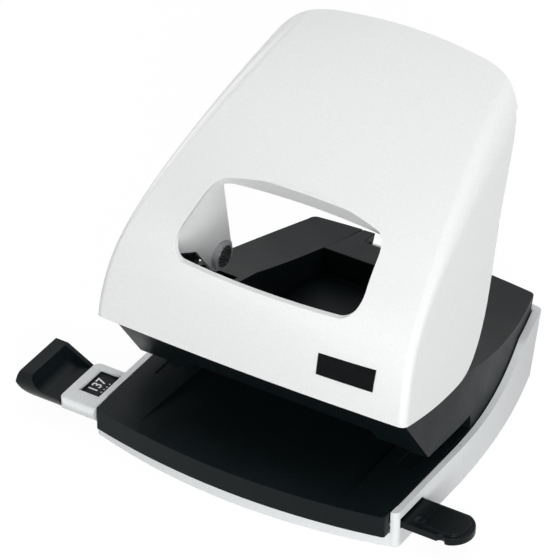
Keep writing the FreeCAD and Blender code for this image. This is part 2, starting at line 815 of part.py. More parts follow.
punch_head_top = size("press_z") - size("press_radius") - size("press_gap")
punch_head_bottom = punch_head_top - size("punch_head_height")


def punch_pin(name):
    """Round punch with a hollow-ground cutting end and a flat head."""
    shank = rod(name + "_shank", size("hole_radius"), (hole_x, punch_y, size("punch_tip_z")),
                punch_head_bottom - size("punch_tip_z") + 0.5)
    head = rod(name + "_head", size("punch_head_radius"), (hole_x, punch_y, punch_head_bottom),
               size("punch_head_height"))
    whole = fuse(name + "_solid", [shank, head])
    groove = document.addObject("Part::Cylinder", name + "_groove")
    bind(groove, Radius=as_length(4.2), Height=as_length(20))
    place(groove, hole_x - 10.0, punch_y, size("punch_tip_z") - 2.9, turn=(Vector(0, 1, 0), 90))
    return cut(name + "_body", whole, [groove])


def return_spring(name):
    """Helical spring that lifts the punch."""
    wire = number("spring_wire")
    low = number("guide_top_z") + wire / 2 + 0.05
    high = punch_head_bottom.number - wire / 2 - 0.05
    pitch = (high - low) / number("spring_turns")
    radius = number("spring_radius")
    helix = Part.makeHelix(pitch, high - low, radius)
    section = Part.Wire(Part.makeCircle(wire / 2, Vector(radius, 0, 0), Vector(0, 1, 0)))
    coil = Part.Wire(helix).makePipeShell([section], True, True)
    return computed(name + "_coil", coil, Vector(hole_x.number, punch_y.number, low))


# ---------------------------------------------------------------------------
# Lever
# ---------------------------------------------------------------------------

# Side view of the lever's front panel, as (y, z): lip, shin, nose, brow, crest, top.
LEVER_MIDDLE = [(-44.7, 34.0), (-44.2, 41.0), (-42.6, 52.5), (-37.6, 65.6), (-22.5, 76.6),
    (-3.0, 85.6), (18.0, 94.6), (50.0, 105.2)]
LEVER_EDGE = [(-43.5, 34.0), (-42.8, 40.9), (-40.6, 49.5), (-36.4, 58.0), (-25.1, 69.2), (-7.9, 80.6),
    (12.0, 90.6), (50.0, 102.8)]
RIM_MIDDLE_Y = -12.0  # y of the window's top edge on the panel
RIM_SLOPE_Y = 0.42  # direction into the panel at the window's top edge
RIM_SLOPE_Z = 0.91
RIM_DROP = 34.0  # how far down the rim's outline runs, past the part that is kept
LEVER_REACH = 53.0  # half width at which the edge line is drawn


def panel_curve(points, x, depth):
    """A side view line of the panel at one x, moved inwards by a depth."""
    spline = Part.BSplineCurve()
    spline.interpolate([Vector(x, y, z) for y, z in points])
    if depth == 0:
        return spline
    moved = []
    steps = 14
    for step in range(steps + 1):
        at = spline.FirstParameter + (spline.LastParameter - spline.FirstParameter) * step / steps
        tangent = spline.tangent(at)[0]
        inwards = Vector(0, tangent.z, -tangent.y)
        moved.append(spline.value(at) + inwards * depth)
    inner = Part.BSplineCurve()
    inner.interpolate(moved)
    return inner


def under_panel(depth, drop):
    """Solid below the crowned panel, moved inwards by a depth."""
    wires = []
    for points, x in ((LEVER_EDGE, -LEVER_REACH), (LEVER_MIDDLE, 0.0), (LEVER_EDGE, LEVER_REACH)):
        curve = panel_curve(points, x, depth)
        start = curve.value(curve.FirstParameter)
        end = curve.value(curve.LastParameter)
        low_end = Vector(x, end.y + 2.0, drop)
        low_start = Vector(x, start.y, drop)
        wires.append(Part.Wire([
            curve.toShape(),
            Part.makeLine(end, low_end),
            Part.makeLine(low_end, low_start),
            Part.makeLine(low_start, start),
        ]))
    return Part.makeLoft(wires, True, False)


def lever_sides(inset):
    """Front view of the lever between its two curved sides, run from front to back."""
    radius = number("lever_side_radius")
    widest = number("lever_half_width") - inset
    middle_z = number("lever_widest_z")

    def half_at(z):
        return widest - radius + math.sqrt(radius * radius - (z - middle_z) ** 2)

    low, high = 10.0, 115.0
    mid = (low + high) / 2
    right = Part.Arc(Vector(half_at(low), 0, low), Vector(half_at(mid), 0, mid),
        Vector(half_at(high), 0, high))
    left = Part.Arc(Vector(-half_at(high), 0, high), Vector(-half_at(mid), 0, mid),
        Vector(-half_at(low), 0, low))
    wire = Part.Wire([
        right.toShape(),
        Part.makeLine(Vector(half_at(high), 0, high), Vector(-half_at(high), 0, high)),
        left.toShape(),
        Part.makeLine(Vector(-half_at(low), 0, low), Vector(half_at(low), 0, low)),
    ])
    wire.translate(Vector(0, -FAR, 0))
    return Part.Face(wire).extrude(Vector(0, 2 * FAR, 0))


def lever_form(inset, drop):
    """Outer form of the lever drawn in by an inset, with its two long folds rounded."""
    solid = under_panel(inset, drop).common(lever_sides(inset))
    folds = []
    for edge in solid.Edges:
        middle = edge.valueAt((edge.FirstParameter + edge.LastParameter) / 2)
        box = edge.BoundBox
        if abs(middle.x) > 30 and box.YLength > 40 and box.ZLength > 30 and middle.z > 60:
            folds.append(edge)
    at_top = number("lever_fold_radius") - inset
    at_lip = max(number("lever_lip_radius") - inset, 0.5)
    rounded = solid.makeFillet(at_top, at_lip, folds).Solids[0]
    rounded.fix(FINE, FINE, 10 * FINE)
    return rounded


def polygon_prism(points, start, run_to):
    """A face through points, extruded by a vector."""
    wire = Part.makePolygon(points + [points[0]])
    wire.translate(start)
    return Part.Face(wire).extrude(run_to)


def lever_side_room():
    """Side view of what is left of the lever: lip line, lower edge and rear edge."""
    curve = Part.BSplineCurve()
    curve.interpolate([Vector(-FAR, y, z) for y, z in
                       ((-43.6, 40.6), (-36.7, 39.0), (-27.7, 37.4), (-17.0, 36.7), (-9.1, 38.0),
                           (-3.7, 42.9),
                        (1.9, 51.5), (9.0, 64.6), (18.5, 78.2), (30.1, 90.3), (35.5, 96.5))])
    start = Vector(-FAR, -60.0, 40.6)
    rear = Vector(-FAR, 35.5, 96.5)
    top = Vector(-FAR, 70.0, 99.0)
    corner = Vector(-FAR, -60.0, 120.0)
    wire = Part.Wire([
        curve.toShape(),
        Part.makeLine(rear, top),
        Part.makeLine(top, Vector(-FAR, 70.0, 120.0)),
        Part.makeLine(Vector(-FAR, 70.0, 120.0), corner),
        Part.makeLine(corner, start),
        Part.makeLine(start, Vector(-FAR, -43.6, 40.6)),
    ])
    return Part.Face(wire).extrude(Vector(2 * FAR, 0, 0))


def top_trim():
    """Plan of the lever, with its strongly rounded top corners."""
    reach = 60.0
    top = number("lever_top_y")
    corner = number("lever_top_corner")
    side = 46.0
    bow = 1.5
    points = [
        Part.makeLine(Vector(-reach, -FAR, 0), Vector(reach, -FAR, 0)),
        Part.makeLine(Vector(reach, -FAR, 0), Vector(reach, top - corner * 1.6, 0)),
        Part.makeLine(Vector(reach, top - corner * 1.6, 0), Vector(side, top - corner * 1.6, 0)),
        Part.Arc(Vector(side, top - corner * 1.6, 0), Vector(side - corner * 0.42, top - corner * 0.42, 0),
                 Vector(side - corner * 1.25, top - bow, 0)).toShape(),
        Part.Arc(Vector(side - corner * 1.25, top - bow, 0), Vector(0, top, 0),
                 Vector(-(side - corner * 1.25), top - bow, 0)).toShape(),
        Part.Arc(Vector(-(side - corner * 1.25), top - bow, 0),
            Vector(-(side - corner * 0.42), top - corner * 0.42, 0),
                 Vector(-side, top - corner * 1.6, 0)).toShape(),
        Part.makeLine(Vector(-side, top - corner * 1.6, 0), Vector(-reach, top - corner * 1.6, 0)),
        Part.makeLine(Vector(-reach, top - corner * 1.6, 0), Vector(-reach, -FAR, 0)),
    ]
    return Part.Face(Part.Wire(points)).extrude(Vector(0, 0, 150.0))


def window_outline(widen, lift, drop):
    """Front view of the hand window: flat bottom, drawn-in sides and an arched top."""
    low = number("window_bottom_z")
    high = number("window_top_z")
    top = number("window_top_half") + widen
    slope = (number("window_bottom_half") - number("window_top_half")) / (high - low)
    low = low - drop
    bottom = top + slope * (high - low)
    high = high + lift
    arch = Part.Arc(Vector(top, 0, high), Vector(0, 0, high + number("window_arch")), Vector(-top, 0, high))
    return Part.Face(Part.Wire([
        Part.makeLine(Vector(-bottom, 0, low), Vector(bottom, 0, low)),
        Part.makeLine(Vector(bottom, 0, low), Vector(top, 0, high)),
        arch.toShape(),
        Part.makeLine(Vector(-top, 0, high), Vector(-bottom, 0, low)),
    ]))


def window_prism(outline, corner, middle_y, run_to):
    """The window's outline, its corners rounded, run both ways from one y."""
    plate = outline.extrude(Vector(0, 1.0, 0))
    corners = [e for e in plate.Edges if e.BoundBox.YLength > 0.9]
    plate = plate.makeFillet(corner, corners)
    flat = [f for f in plate.Faces if f.BoundBox.YLength < 0.001][0]
    flat.translate(Vector(0, middle_y - flat.BoundBox.YMin, 0) - run_to)
    return flat.extrude(run_to * 2)


def window_room():
    """Room of the window, cut straight from the front."""
    return window_prism(window_outline(0.0, 0.0, 0.0), number("window_corner"), 0.0, Vector(0, FAR, 0))


def lever_ear(side):
    """Plate bent in from the window's edge, with the hole of the press pin's bush."""
    thick = number("sheet")
    press = Vector(0, number("press_y"), number("press_z"))
    round_end = number("ear_radius")
    plate = Part.makePolygon([
        Vector(0, -33.0, 62.0), Vector(0, -22.0, 57.0), Vector(0, press.y - 4.6, press.z - 2.2),
        Vector(0, press.y + 4.6, press.z + 2.2), Vector(0, press.y - 0.6, 90.0), Vector(0, -33.0, 80.0),
        Vector(0, -33.0, 62.0)])
    solid = Part.Face(plate).extrude(Vector(thick, 0, 0))
    boss = Part.makeCylinder(round_end, thick, press, Vector(1, 0, 0))
    solid = solid.fuse(boss)
    solid.rotate(Vector(0, press.y, 0), Vector(0, 0, 1), 8.0)
    solid.translate(Vector(ear_inside.number, 0, 0))
    if side < 0:
        solid = solid.mirror(Vector(0, 0, 0), Vector(1, 0, 0))
    return solid


def window_rim():
    """Edge of the window folded inwards, square to the panel, along its top."""
    depth = number("rim_depth")
    sheet = number("sheet")
    corner = number("window_corner")
    inwards = Vector(0, RIM_SLOPE_Y, -RIM_SLOPE_Z) * (2.5 * depth)
    lift = sheet / RIM_SLOPE_Y
    outside = window_prism(window_outline(sheet, lift, RIM_DROP), corner + sheet, RIM_MIDDLE_Y, inwards)
    inside = window_prism(window_outline(0.0, 0.0, RIM_DROP), corner, RIM_MIDDLE_Y, inwards)
    rim = outside.cut(inside).common(under_panel(0.2, 12.0)).cut(under_panel(depth, 5.0))
    zone = Part.makeBox(2 * FAR, FAR, FAR, Vector(-FAR, RIM_MIDDLE_Y - 8.0, number("window_bottom_z") + 6.0))
    return rim.common(zone)


def lever_cover():
    """White sheet-metal lever: crowned panel, two folded sides, hand window and ears."""
    outer = lever_form(0.0, 20.0)
    inner = lever_form(number("sheet"), 12.0)
    shell = outer.common(lever_side_room()).common(top_trim()).cut(inner)
    shell = shell.cut(window_room())
    under = under_panel(0.2, 12.0)
    shell = shell.fuse(window_rim())
    for side in (-1, 1):
        shell = shell.fuse(lever_ear(side).common(under))
    bush_room = Part.makeCylinder(
        number("press_bush_radius") - 0.47, 10.0,
            Vector(ear_inside.number - 3.6, number("press_y"), number("press_z")), Vector(1, 0, 0))
    shell = shell.cut(bush_room)
    shell = shell.cut(bush_room.mirror(Vector(0, 0, 0), Vector(1, 0, 0)))
    return subpart(computed("lever_cover_body", shell), "lever_cover")


def lever_bracket():
    """Steel bracket under the panel; its two ears turn on the axle."""
    thick = 1.8
    half = head_inside.number - 5.0
    top = under_panel(number("sheet") + 0.02, 12.0)
    below = under_panel(number("sheet") + thick, 5.0)
    zone = Part.makeBox(2 * half, 30.0, 13.0, Vector(-half, -60.0, 47.0))
    shape = top.cut(below).common(zone)
    centre = Vector(0, number("axle_y"), number("axle_z"))
    for side in (-1, 1):
        x = half - 2.0 if side > 0 else -half
        plate = Part.makePolygon([
            Vector(x, -45.0, 47.2), Vector(x, centre.y - 4.6, centre.z - 1.0),
                Vector(x, centre.y + 4.6, centre.z + 1.0),
            Vector(x, centre.y + 2.0, 59.8), Vector(x, -45.0, 59.8), Vector(x, -45.0, 47.2)])
        ear = Part.Face(plate).extrude(Vector(2.0, 0, 0))
        ear = ear.fuse(Part.makeCylinder(5.0, 2.0, Vector(x, centre.y, centre.z), Vector(1, 0, 0)))
        shape = shape.fuse(ear.common(top))
    bore = Part.makeCylinder(number("axle_radius") + number("running_gap"), 2 * FAR,
                             Vector(-FAR, centre.y, centre.z), Vector(1, 0, 0))
    return subpart(computed("lever_bracket_body", shape.cut(bore)), "lever_bracket")


def blank_plate():
    """Thin bare plate stuck low on the front of the lever."""
    thick = 0.25
    glue = 0.02
    skin = under_panel(-(thick + glue), 20.0).cut(under_panel(-glue, 12.0))
    place_low = Vector(number("label_left_x"), -60.0, number("label_bottom_z"))
    zone = Part.makeBox(number("label_width"), 30.0, number("label_height"), place_low)
    return subpart(computed("blank_plate_body", skin.common(zone)), "blank_plate")


def lever_axle():
    """Steel axle across the head."""
    half = axle_half
    axle = rod("axle_rod", size("axle_radius"), (-half, size("axle_y"), size("axle_z")), 2 * half, "x")
    grooves = []
    for side in (-1, 1):
        x = side * (head_inside - 1.6)
        ring = cut("clip_ring_%d" % side,
                   rod("clip_out_%d" % side, size("axle_radius") + 1,
                       (x - 0.4, size("axle_y"), size("axle_z")), 0.8, "x"),
                   [rod("clip_in_%d" % side, size("axle_radius") - 0.5,
                       (x - 1, size("axle_y"), size("axle_z")), 2, "x")])
        grooves.append(ring)
    return subpart(cut("lever_axle_body", axle, grooves), "lever_axle")


def axle_clips():
    """Two snap rings in the grooves of the axle."""
    items = []
    for side in (-1, 1):
        x = side * (head_inside - 1.6)
        ring = rod("snap_ring_%d" % side, size("axle_radius") + 1.5,
            (x - 0.35, size("axle_y"), size("axle_z")), 0.7, "x")
        hole = rod("snap_hole_%d" % side, size("axle_radius") - 0.45,
            (x - 1, size("axle_y"), size("axle_z")), 2, "x")
        mouth = block("snap_mouth_%d" % side, (x - 1, size("axle_y") - 1.6, size("axle_z") - 20),
                      (x + 1, size("axle_y") + 1.6, size("axle_z")))
        items.append(cut("snap_%d" % side, ring, [hole, mouth]))
    return subpart(group("snaps", items), "axle_clips")


def press_pin(name):
    """Pin from the lever's ear to its side wall; it pushes the punch down."""
    start = ear_inside - 1.6
    end = lever_half_width - size("sheet") - press_end_gap
    return rod(name + "_body", size("press_radius"), (start, size("press_y"), size("press_z")),
        end - start, "x")


def press_bush(name):
    """Light plastic collar between the press pin and the ear."""
    radius = size("press_bush_radius")
    start = ear_inside - 1.2
    flange = rod(name + "_flange", radius, (start, size("press_y"), size("press_z")), 0.5, "x")
    sleeve = rod(name + "_sleeve", radius - 0.55, (start, size("press_y"), size("press_z")), 4.0, "x")
    bore = rod(name + "_bore", size("press_radius") + 0.01, (0, size("press_y"), size("press_z")), 60, "x")
    return cut(name + "_body", fuse(name + "_solid", [flange, sleeve]), [bore])


# ---------------------------------------------------------------------------
# Black housings, bridge and rear deck
# ---------------------------------------------------------------------------

ARM_TOP_FAR_Y = 56.0


def arm_top_arc(drop):
    """Ends and radius of the line along the top of an arm, lowered by a drop."""
    front = (as_length(-2.0), size("arm_top_front_z") - drop)
    rear = (as_length(ARM_TOP_FAR_Y), size("arm_top_rear_z") - drop)
    fall = size("arm_top_front_z") - size("arm_top_rear_z")
    along = ARM_TOP_FAR_Y + 2.0
    half_chord = root(fall * fall + along * along) / 2.0
    return front, rear, bow_radius(half_chord, size("arm_top_sag"))


def housing_profile():
    """Side view of a housing: head with its axle ear, paper slot, arm."""
    front, rear, arc = arm_top_arc(0.0)
    ear = size("housing_ear_radius")
    axle_y = size("axle_y")
    axle_z = size("axle_z")
    return [
        (size("head_front_y"), size("slot_front_z")),
        (size("back_stop_y"), size("slot_rear_z")),
        (size("back_stop_y"), plate_top),
        (FAR, plate_top),
        (FAR, size("arm_top_rear_z")),
        (rear[0], rear[1]),
        (front[0], front[1], -arc),
        (as_length(-12.0), as_length(36.6)),
        (axle_y + 9.0, as_length(38.0)),
        (axle_y + ear, axle_z),
        (axle_y - ear, axle_z, ear + 0.001),
        (size("housing_front_top_y"), size("housing_front_top_z")),
    ]


def arm_plan(inset):
    """Plan of a housing's side of the split line, drawn in by an inset."""
    inside = head_inside + inset
    return [
        (inside, -FAR),
        (FAR, -FAR),
        (FAR, FAR),
        (size("arm_rear_inside") + inset - 0.21 * (FAR - ARM_TOP_FAR_Y), FAR),
        (inside, ARM_TOP_FAR_Y - (head_inside - size("arm_rear_inside")) / 0.21),
    ]


def side_housing(name):
    """Black moulding of one side: head block round the punch, and the arm behind it."""
    form = base_form(name + "_form", wall + gap, as_length(0), as_length(60.0))
    profile = prism(name + "_profile", "side", housing_profile(), 0, FAR)
    plan = prism(name + "_plan", "plan", arm_plan(0.0), 0, FAR)
    outside = common(name + "_outside", [form, profile, plan])
    inner_form = base_form(name + "_inner_form", wall + gap + skin, as_length(-1.0), as_length(60.0))
    inner_plan = prism(name + "_inner_plan", "plan", arm_plan(skin), -1, FAR)
    front_y = size("head_front_y") + skin + 0.2
    ceiling_front = size("slot_front_z") + skin
    ceiling_rear = size("slot_rear_z") + skin
    stop_rear = size("back_stop_y") + skin
    head_room = prism(name + "_head_room", "side", [
        (front_y, ceiling_front),
        (stop_rear + 3.0, ceiling_rear),
        (stop_rear + 3.0, FAR),
        (-FAR, FAR),
        (-FAR, size("housing_front_top_z") - 0.6),
        (size("housing_front_top_y") + skin + 0.8, size("housing_front_top_z") - 0.6),
    ], 0, FAR)
    front, rear, arc = arm_top_arc(skin)
    arm_room = prism(name + "_arm_room", "side", [
        (stop_rear, -FAR),
        (FAR, -FAR),
        (FAR, size("arm_top_rear_z") - skin),
        (rear[0], rear[1]),
        (front[0] + 6.0, front[1] - 1.0, -arc),
        (stop_rear + 3.0, size("slot_rear_z") + skin + 0.6),
        (stop_rear, size("slot_rear_z") + skin + 0.6),
    ], 0, FAR)
    room = common(name + "_room", [fuse(name + "_rooms", [head_room, arm_room]), inner_form, inner_plan])
    axle_bore = rod(name + "_axle_bore", size("axle_radius") + 0.01, (0, size("axle_y"), size("axle_z")),
                    axle_half, "x")
    guide_bore = rod(name + "_guide_bore", size("die_radius") + 0.1, (hole_x, punch_y, 10), 40)
    frame_room = block(
        name + "_frame_room",
        (hole_x - size("frame_width") / 2 - 1.5, size("back_stop_y") - 1, plate_top - 1),
        (hole_x + size("frame_width") / 2 + 0.1, stop_rear + 3.0, frame_leg_top + 0.2))
    shell = cut(name + "_shell", outside, [room, axle_bore, guide_bore, frame_room])
    posts = []
    bores = []
    for index, (x, y) in enumerate(housing_screw_places()):
        column = rod(name + "_column_%d" % index, 3.0, (x, y, plate_top), 60)
        posts.append(common(name + "_post_%d" % index, [column, outside]))
        bores.append(rod(name + "_post_bore_%d" % index, 1.42, (x, y, plate_top - 1), 11.5))
    return cut(name + "_body", fuse(name + "_solid", [shell] + posts), bores)


def housing_screw_places():
    """Where a housing is screwed to the base plate."""
    return [(hole_x, as_length(8.5)), (as_length(34.5), as_length(25.5))]


def housing_screws():
    """Four screws from below through the base plate into the housings."""
    items = []
    for side in (-1, 1):
        for index, (x, y) in enumerate(housing_screw_places()):
            shank = rod("screw_shank_%d_%d" % (side, index), 1.4, (side * x, y, size("plate_z") - 0.1), 9.5)
            head = rod("screw_head_%d_%d" % (side, index), 2.7, (side * x, y, size("plate_z") - 1.6), 1.6)
            slot = block("screw_slot_%d_%d" % (side, index), (side * x - 0.35, y - 2, size("plate_z") - 2),
                         (side * x + 0.35, y + 2, size("plate_z") - 1.0))
            items.append(cut("screw_%d_%d" % (side, index),
                fuse("screw_solid_%d_%d" % (side, index), [shank, head]), [slot]))
    return subpart(group("screws", items), "housing_screws")


def head_bridge():
    """Black bridge between the two head blocks: sloping front wall and roof of the slot."""
    half = head_inside
    low = size("bridge_bottom_z")
    slope = (size("head_front_y") - size("housing_front_top_y")) / (
        size("housing_front_top_z") - size("slot_front_z"))

    def front_at(z):
        return size("head_front_y") - slope * (z - size("slot_front_z"))

    top = size("housing_front_top_z") - 2.0
    shape = prism("bridge_shape", "side", [
        (front_at(low), low),
        (size("back_stop_y") + skin, low),
        (size("back_stop_y") + skin, low + skin),
        (front_at(low + skin) + skin, low + skin),
        (front_at(top) + skin, top),
        (front_at(top), top),
    ], -half, 2 * half)
    return subpart(shape, "head_bridge")


def rear_deck():
    """Black deck between the arms: paper stop, basin, rear strip with the finger notch."""
    form = base_form("deck_form", wall + gap, as_length(0), as_length(60.0))
    inner_form = base_form("deck_inner_form", wall + gap + skin, as_length(-1.0), as_length(60.0))
    front, rear, arc = arm_top_arc(0.0)
    strip_y = size("deck_strip_y")
    share = (ARM_TOP_FAR_Y - strip_y) / (ARM_TOP_FAR_Y + 2.0)
    strip_z = size("arm_top_rear_z") + (size("arm_top_front_z") - size("arm_top_rear_z")) * share - 0.9
    basin = size("basin_floor_z")
    stop = size("back_stop_y")
    top = size("bridge_bottom_z") - 0.1
    outer_profile = prism("deck_profile", "side", [
        (stop, plate_top),
        (FAR, plate_top),
        (FAR, size("arm_top_rear_z")),
        (rear[0], rear[1]),
        (strip_y, strip_z),
        (strip_y, basin),
        (stop + skin, basin),
        (stop + skin, top),
        (stop, top),
    ], -FAR, 2 * FAR)
    inner_profile = prism("deck_inner_profile", "side", [
        (stop + skin, -FAR),
        (FAR, -FAR),
        (FAR, size("arm_top_rear_z") - skin),
        (rear[0], rear[1] - skin),
        (strip_y + skin, strip_z - skin),
        (strip_y + skin, basin - skin),
        (stop + skin, basin - skin),
    ], -FAR, 2 * FAR)
    split = ARM_TOP_FAR_Y - (head_inside - size("arm_rear_inside")) / 0.21
    half_front = head_inside - gap
    half_rear = size("arm_rear_inside") - gap - 0.21 * (FAR - ARM_TOP_FAR_Y)
    plan = prism("deck_plan", "plan", [
        (-half_front, -FAR),
        (half_front, -FAR),
        (half_front, split),
        (half_rear, FAR),
        (-half_rear, FAR),
        (-half_front, split),
    ], 0, FAR)
    shell = cut("deck_shell", common("deck_outside", [form, outer_profile, plan]),
                [common("deck_room", [inner_form, inner_profile])])
    notch = block(
        "deck_notch",
        (-size("notch_half_width"),
            size("rear_y") + size("rear_lean") * size("arm_top_rear_z") - wall - size("notch_depth"),
         size("rim_end_z") - 1.5),
        (size("notch_half_width"), FAR, FAR))
    return subpart(cut("rear_deck_body", shell, [notch]), "rear_deck")


# ---------------------------------------------------------------------------
# Paper guide
# ---------------------------------------------------------------------------

FORMAT_STEPS = [0.0, 36.5, 71.2, 80.0, 96.5]  # travel of the stop from the smallest format
DETENT_X = -34.0
STOP_WEB = 1.4  # thickness of the web that closes the rear end of the stop


def guide_bar():
    """Flat bar through the base: figures under the window, a notch for each format, a grip tab."""
    left = -(stop_x - 2.5)
    end_bow = as_length(4.5)
    straight_end = tab_end_x - end_bow
    half = size("bar_width") / 2.0
    bar = prism("bar_blank", "plan", [
        (left, bar_front),
        (straight_end, bar_front),
        (straight_end, bar_rear, bow_radius(half, end_bow)),
        (left, bar_rear),
    ], size("bar_z"), size("bar_thickness"))
    grip_start = tab_end_x - 13.0
    rim = 1.4
    grip = prism("bar_grip", "plan", [
        (grip_start, bar_front + rim, -(size("bar_width") * 0.75)),
        (straight_end, bar_front + rim),
        (straight_end, bar_rear - rim, bow_radius(half - rim, end_bow - rim)),
        (grip_start, bar_rear - rim),
    ], bar_top - 0.1, as_length(0.8))
    display = block(
        "bar_display",
        (window_middle_x() - 4.6, bar_front + 0.1, bar_top - 0.1),
        (window_middle_x() + 4.6, bar_rear - 0.1, size("display_top_z")))
    notches = []
    for index, step in enumerate(FORMAT_STEPS):
        notches.append(rod("format_notch_%d" % index, 1.3,
            (DETENT_X + step, bar_front - 0.3, size("bar_z") - 1), 6))
    dimple = document.addObject("Part::Sphere", "tab_dimple")
    bind(dimple, Radius=as_length(3.0))
    place(dimple, half_width + 4.0, size("bar_y") - 2.6, bar_top + 2.4)
    solid = fuse("bar_solid", [bar, grip, display])
    return subpart(cut("guide_bar_body", solid, notches + [dimple]), "guide_bar")


def guide_stop():
    """Upright paper stop at the left end of the guide bar."""
    inner = -stop_x
    outer = inner - size("stop_top")
    right = -(window_box_x + 0.6)
    top = size("stop_height")
    low = size("window_box_bottom_z")
    foot_top = size("window_box_top_z") - 0.6
    front = size("stop_front_y")
    rear = size("stop_rear_y")
    section = prism("stop_section", "front", [
        (outer + 5.5, low, as_length(9.0)),
        (right, low),
        (right, foot_top - 1.4),
        (inner + 3.4, foot_top - 1.2),
        (inner, foot_top + 0.6, as_length(-5.0)),
        (inner - 1.5, top),
        (outer - 1.5, top),
        (outer - 2.6, top - 3.8),
    ], -rear, rear - front)
    web = prism("stop_web", "front", [
        (inner - 1.5, low + 1.0),
        (right, low + 1.0),
        (right, foot_top - 1.4),
        (inner - 1.5, top),
    ], -rear, STOP_WEB)
    side = rounded_front("stop_side", top, low, front, rear)
    pocket = block("bar_pocket", (-(stop_x - 2.5), bar_front, size("bar_z")), (0, bar_rear, bar_top))
    form = common("stop_form", [fuse("stop_scoop", [section, web]), side])
    return subpart(cut("guide_stop_body", form, [pocket]), "guide_stop")


def guide_detent():
    """Leaf spring whose nub drops into the bar's notches."""
    leaf = block("leaf", (DETENT_X - 10.0, leaf_front, size("bar_z")),
        (DETENT_X + 10.0, leaf_front + 0.4, bar_top))
    nub = rod("leaf_nub", 1.0, (DETENT_X, bar_front - 1.05, size("bar_z")), size("bar_thickness"))
    return subpart(fuse("guide_detent_body", [leaf, nub]), "guide_detent")


def build():
    """Builds every piece of the punch."""
    front_base()
    chip_tray()
    tray_hinge_pins()
    paper_table()
    base_plate()
    plate_screws()
    pair(punch_frame, "punch_frame")
    pair(die_bush, "die_bush")
    pair(punch_guide, "punch_guide")
    frame_rivets()
    pair(side_housing, "side_housing")
    housing_screws()
    head_bridge()
    rear_deck()
    pair(punch_pin, "punch_pin")
    pair(return_spring, "return_spring")
    lever_cover()
    lever_bracket()
    blank_plate()
    lever_axle()
    axle_clips()
    pair(press_pin, "press_pin")
    pair(press_bush, "press_bush")
    guide_bar()
    guide_stop()
    guide_detent()


def check_document():
    """Stops when any object of the document failed or any piece isn't a sound solid."""
    document.recompute()
    faults = []
    for item in document.Objects:
        if "Invalid" in item.State or "Error" in item.State:
            faults.append("%s %s" % (item.Name, item.State))
    for item in SUBPARTS:
        if item.Shape.isNull() or not item.Shape.isValid() or item.Shape.Volume < 0.1:
            faults.append(item.Label + " isn't a sound solid")
    if faults:
        raise RuntimeError("; ".join(faults))


def export_parts():
    """Writes one STEP file for each piece."""
    os.makedirs("parts", exist_ok=True)
    for item in SUBPARTS:
        item.Shape.exportStep("parts/%s.step" % item.Label)


build()
check_document()
export_parts()
print("pieces:", len(SUBPARTS))
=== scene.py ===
"""Desk hole punch: finishes, softened edges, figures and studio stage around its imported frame."""

import json
import math

import bmesh
import bpy
from bpy.props import FloatProperty, FloatVectorProperty, PointerProperty, StringProperty
from mathutils import Matrix, Vector

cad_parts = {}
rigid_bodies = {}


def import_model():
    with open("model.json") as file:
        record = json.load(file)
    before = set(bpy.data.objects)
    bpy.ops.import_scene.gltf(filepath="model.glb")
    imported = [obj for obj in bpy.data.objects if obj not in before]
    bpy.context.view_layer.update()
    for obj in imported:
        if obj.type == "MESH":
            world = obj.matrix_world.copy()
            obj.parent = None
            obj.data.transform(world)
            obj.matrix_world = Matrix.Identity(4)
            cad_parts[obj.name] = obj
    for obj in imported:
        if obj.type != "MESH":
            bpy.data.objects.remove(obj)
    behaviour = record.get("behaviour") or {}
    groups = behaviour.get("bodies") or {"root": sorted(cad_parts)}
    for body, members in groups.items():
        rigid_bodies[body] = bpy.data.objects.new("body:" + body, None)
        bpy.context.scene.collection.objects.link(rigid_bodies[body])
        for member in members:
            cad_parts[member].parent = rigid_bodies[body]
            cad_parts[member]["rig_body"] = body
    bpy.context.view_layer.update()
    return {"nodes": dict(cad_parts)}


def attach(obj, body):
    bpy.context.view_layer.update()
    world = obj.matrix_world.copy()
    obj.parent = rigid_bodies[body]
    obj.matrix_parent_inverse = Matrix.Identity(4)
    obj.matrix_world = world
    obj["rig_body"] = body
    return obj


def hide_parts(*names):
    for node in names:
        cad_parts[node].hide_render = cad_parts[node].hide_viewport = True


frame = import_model()
NODES = frame["nodes"]
BODY_OF = {node: obj["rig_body"] for node, obj in NODES.items()}

bl_info = {
    "name": "Desk hole punch",
    "version": (1, 0, 0),
    "blender": (4, 5, 0),
    "location": "View3D > Sidebar > Hole punch",
    "description": "Finishes and details for a desk hole punch",
    "category": "Object",
}

MM = 0.001
WHITE = (1.0, 1.0, 1.0, 1.0)

# Nodes by what they are made of
WHITE_MOULDINGS = ("base_front", "chip_tray")
BLACK_MOULDINGS = ("paper_table", "side_housing_left", "side_housing_right", "head_bridge", "rear_deck")
BLACK_GUIDE = ("guide_bar", "guide_stop")
ZINC_STEEL = (
    "base_plate", "punch_frame_left", "punch_frame_right", "lever_bracket", "plate_screws",
    "housing_screws")
BRIGHT_STEEL = ("lever_axle", "press_pin_left", "press_pin_right", "frame_rivets", "tray_hinge_pins")
HARD_STEEL = (
    "die_bush_left", "die_bush_right", "punch_guide_left", "punch_guide_right", "punch_pin_left",
    "punch_pin_right")
SPRING_STEEL = ("return_spring_left", "return_spring_right", "axle_clips", "guide_detent")
BUSHES = ("press_bush_left", "press_bush_right")

# Softened edges
MERGE_M = 1e-6  # corners nearer than this are one corner
SLIVER_M = 2e-6  # edges shorter than this are dropped
FLAT_DEGREES = 0.5  # facets that turn less than this become one face
CREASE_DEGREES = 34.0  # edges that turn more than this get a radius
MOULDED_STEPS, SHEET_STEPS = 2, 3  # faces across such a radius

